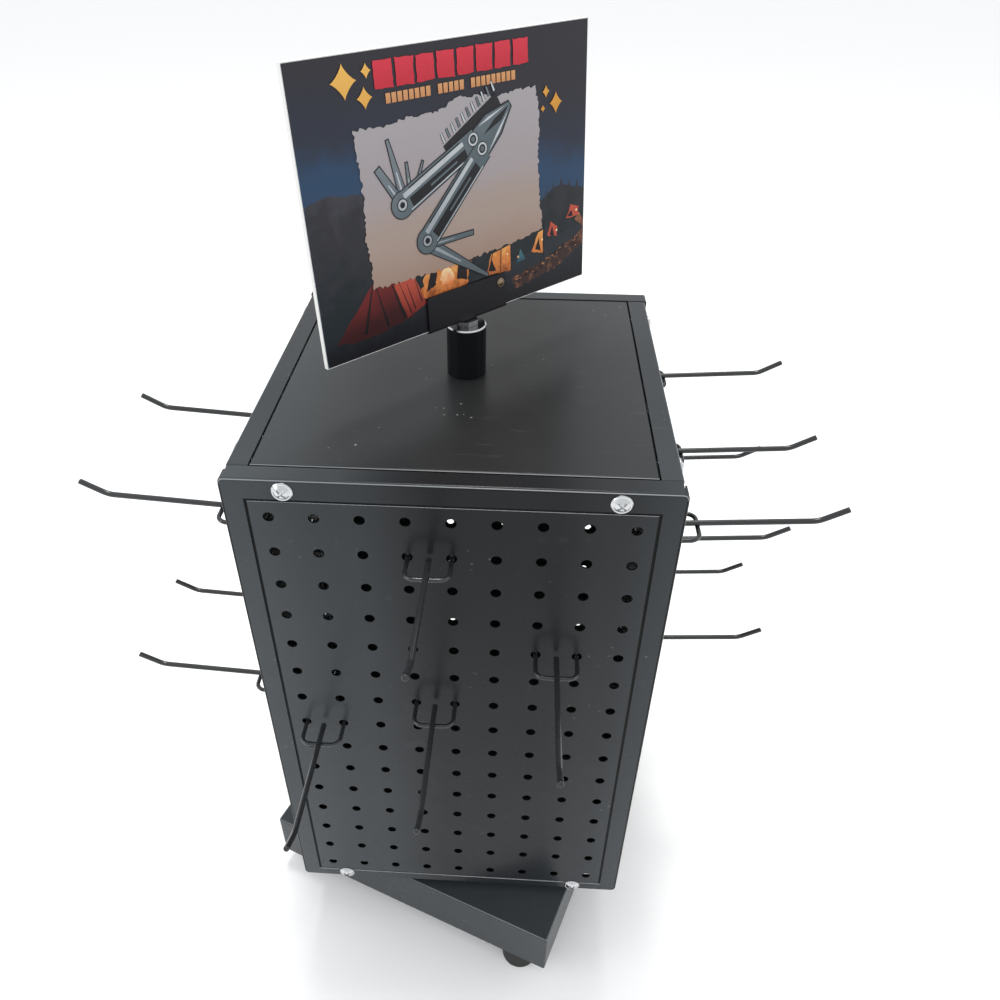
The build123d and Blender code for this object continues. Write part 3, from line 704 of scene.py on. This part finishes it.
def draw_tents(picture):
    """Two red tents, a lit clearing, and small tents going up the slope."""
    large_tent = [(8, 12), (21, 25), (35, 39), (49, 36), (58, 22), (62, 13), (40, 10), (20, 9)]
    picture.add(ragged(large_tent, 4, 0.4, 4), "crimson")
    clearing = [(66, 22), (74, 38), (92, 40), (106, 34), (104, 22), (84, 17)]
    picture.add(ragged(clearing, 2.5, 1.2, 5), "amber")
    picture.add(ragged([(49, 35), (64, 36), (71, 18), (57, 13)], 4, 0.3, 6), "coral")
    for size, ink in ((7.0, "amber"), (5.0, "glow")):
        picture.add(ragged(disc(88, 29, size, 14), 2.0, 1.0, 7), ink)
    for corners, ink in (([(118, 22), (123, 34), (139, 37), (139, 20)], "amber"),
                         ([(143, 23), (147, 31), (152, 24)], "teal"),
                         ([(156, 27), (163, 38), (167, 39), (167, 24)], "amber"),
                         ([(170, 34), (174, 42), (180, 38), (179, 32)], "coral"),
                         ([(187, 41), (192, 49), (199, 47), (199, 41)], "coral")):
        picture.add(ragged(corners, 3.0, 0.4, 8), ink)
    for x0, y0, x1, y1 in ((139, 20, 139, 38), (167, 21, 168, 44), (121, 24, 124, 35), (130, 21, 131, 36)):
        picture.add(bar(x0, y0, x1, y1, 0.7), "shade")


def draw_tent_details(picture):
    """Folds and doorways, glowing spots, and flecks of stone on the path."""
    for x0, y0, x1, y1, width in ((35, 38, 27, 12, 2.2), (37, 38, 43, 12, 1.6), (48, 35, 55, 14, 2.0),
                                  (58, 34, 63, 17, 0.8), (53, 35, 60, 15, 0.8), (64, 34, 68, 20, 0.9)):
        picture.add(bar(x0, y0, x1, y1, width * 0.3, width), "ash")
    for corners in ([(72, 24), (76, 36), (81, 38), (79, 27)], [(95, 26), (97, 36), (103, 33), (103, 24)],
                    [(120, 24), (123, 31), (126, 23)], [(160, 28), (163, 34), (165, 26)],
                    [(173, 34), (175, 39), (177, 33)], [(189, 42), (192, 46), (194, 42)]):
        picture.add(ragged(corners, 2.0, 0.4, 33), "ash")
    for x, y, size in ((86, 30, 1.4), (90, 33, 1.1), (92, 27, 1.2), (84, 26, 0.9), (133, 27, 1.0),
                       (136, 31, 0.8), (145, 27, 0.8), (166, 33, 0.9), (179, 36, 0.8), (197, 45, 0.8)):
        picture.add(disc(x, y, size, 8), "glow")
    chance = random.Random(41)
    path_left, path_right, path_foot, path_slope = 141, 202, 11, 0.24
    for _ in range(46):
        x = chance.uniform(path_left, path_right)
        y = path_foot + (x - path_left) * path_slope + chance.uniform(-4.0, 4.0)
        width = chance.uniform(0.8, 2.6)
        fleck = [(x, y), (x + width, y + 0.4), (x + width, y + 0.9), (x, y + 0.6)]
        picture.add(fleck, chance.choice(("sand", "ash", "earth")))


def draw_paper(picture):
    """A patch of torn paper in the middle."""
    torn = [(34, 119), (53, 118), (68, 120), (90, 120), (102, 125), (116, 124), (130, 122), (161, 123),
            (164, 106), (163, 81), (164, 58), (166, 40), (142, 37), (118, 36), (75, 35), (35, 36), (36, 46),
            (34, 65), (36, 82)]
    picture.add(ragged(torn, 1.6, 0.9, 9), "paper")


def draw_heading(picture):
    """Two rows of plain blocks where a sign carries its heading, and stars beside them."""
    left, pitch, bottom, width, height = 50, 13.4, 135.4, 11.6, 12.8
    for i in range(8):
        outline = block(left + i * pitch, bottom, width, height)
        picture.add(ragged(outline, 2.0, 0.25, 20 + i), "red")
    left, pitch, gap, bottom, width, height = 56.0, 3.7, 4.3, 128.2, 2.9, 4.8
    for count in (8, 5, 9):
        for _ in range(count):
            picture.add(block(left, bottom, width, height), "sand")
            left += pitch
        left += gap
    for star in ((31.8, 141.2, 7.8, 8.2), (45.5, 144.6, 3.1, 3.6), (43.2, 132.6, 4.8, 5.3),
                 (169.4, 118.7, 2.9, 3.4), (177.5, 111.8, 5.2, 6.0), (166.8, 109.8, 2.0, 2.0)):
        picture.add(sparkle(*star), "gold")


def draw_bits_and_blades(picture):
    """The folding tool's strip of bits and its opened blades."""
    picture.add(bar(93, 98, 132, 120, 9.0, 8.0), "shade")
    for i in range(11):
        x, y = 92 + 3.7 * i, 103.5 + 2.1 * i
        line = (x, y, x - 2.2, y + 5.0)
        picture.add(bar(*line, 2.1, 1.7), "shade")
        picture.add(bar(*line, 1.3, 0.9), "metal" if i % 2 else "shine")
    blades = ((62, 78, 54, 111, 5.6, 1.4), (58, 80, 46, 98, 5.0, 3.6), (66, 82, 65, 98, 2.4, 1.0),
              (70, 84, 76, 97, 2.0, 0.8), (78, 50, 119, 22.5, 7.5, 1.6), (80, 51, 109, 51, 3.2, 2.4))
    for x0, y0, x1, y1, root, tip in blades:
        picture.add(bar(x0, y0, x1, y1, root + OUTLINE, tip + OUTLINE, OUTLINE / 2), "shade")
        picture.add(bar(x0, y0, x1, y1, root, tip), "metal")
        picture.add(bar(x0, y0, (x0 + x1) / 2, (y0 + y1) / 2, root * 0.3, root * 0.12), "shine")


def draw_jaws(picture):
    """The folding tool's plier jaws."""
    outline = [(109, 97), (122, 90), (134, 101.5), (142, 115), (139.5, 118.5), (121.5, 114), (111, 107)]
    jaws = [(110, 97), (122, 91), (133, 102), (141, 115), (139.5, 117.5), (122, 113), (112, 106)]
    picture.add(outline, "shade")
    picture.add(jaws, "metal")
    picture.add([(120, 103), (134, 109), (139.5, 116), (128, 110)], "shade")
    picture.add([(116, 108), (124, 112), (137, 116), (124, 110.5)], "shine")
    picture.add([(123, 93), (132, 102.5), (139, 113), (131, 104)], "shine")


def draw_handle(picture, x0, y0, x1, y1):
    """One handle of the folding tool, with its grooves and the pivot of its blades at the end.

    Grooves are placed in steps of about a millimetre along the handle and across it.
    """
    front_width, end_width, end_radius, nominal_length = 12.5, 13.5, 7.2, 60
    dx, dy = (x1 - x0) / nominal_length, (y1 - y0) / nominal_length
    picture.add(bar(x0, y0, x1, y1, front_width + OUTLINE, end_width + OUTLINE, 1.0), "shade")
    picture.add(disc(x1, y1, end_radius + OUTLINE / 2), "shade")
    picture.add(bar(x0, y0, x1, y1, front_width, end_width, 1.0), "metal")
    picture.add(disc(x1, y1, end_radius), "metal")
    for start, end, side, w0, w1, ink in ((8, 6, -2.6, 5.2, 6.0, "shade"), (8, 3, 3.4, 2.4, 3.0, "shine"),
                                          (10, 8, 5.4, 0.6, 0.8, "shade"), (16, 22, -2.6, 1.0, 1.2, "metal"),
                                          (6, 4, -5.9, 0.7, 0.8, "shine")):
        picture.add(bar(x0 + dx * start + dy * side, y0 + dy * start - dx * side,
                        x1 - dx * end + dy * side, y1 - dy * end - dx * side, w0, w1), ink)
    for radius, ink in ((3.6, "shade"), (3.0, "shine"), (1.7, "shade")):
        picture.add(disc(x1, y1, radius), ink)


def draw_folding_tool(picture):
    """A generic folding tool, half open: plier jaws, two handles, blades and a strip of bits."""
    draw_bits_and_blades(picture)
    draw_jaws(picture)
    draw_handle(picture, 113, 101, 60, 77)
    draw_handle(picture, 119, 95, 75, 54)
    for x, y in ((112, 102), (118.5, 96)):
        for radius, ink in ((4.0, "shade"), (3.5, "shine"), (2.4, "shade"), (1.5, "metal")):
            picture.add(disc(x, y, radius), ink)


def make_sign_print():
    face = Face("sign_print", "sign_board")
    inks = {name: printed(face, name, *recipe) for name, recipe in INKS.items()}
    dress(inks["sky"], "sign_print")
    picture = Picture(face, inks)
    draw_land(picture)
    draw_tents(picture)
    draw_tent_details(picture)
    draw_paper(picture)
    draw_heading(picture)
    draw_folding_tool(picture)
    picture.finish("sign_picture")


make_camera()
make_floor()
make_lights()
dress_sheet_metal()
dress_hooks()
dress_metal_pieces()
dress_soft_pieces()
make_sign_print()
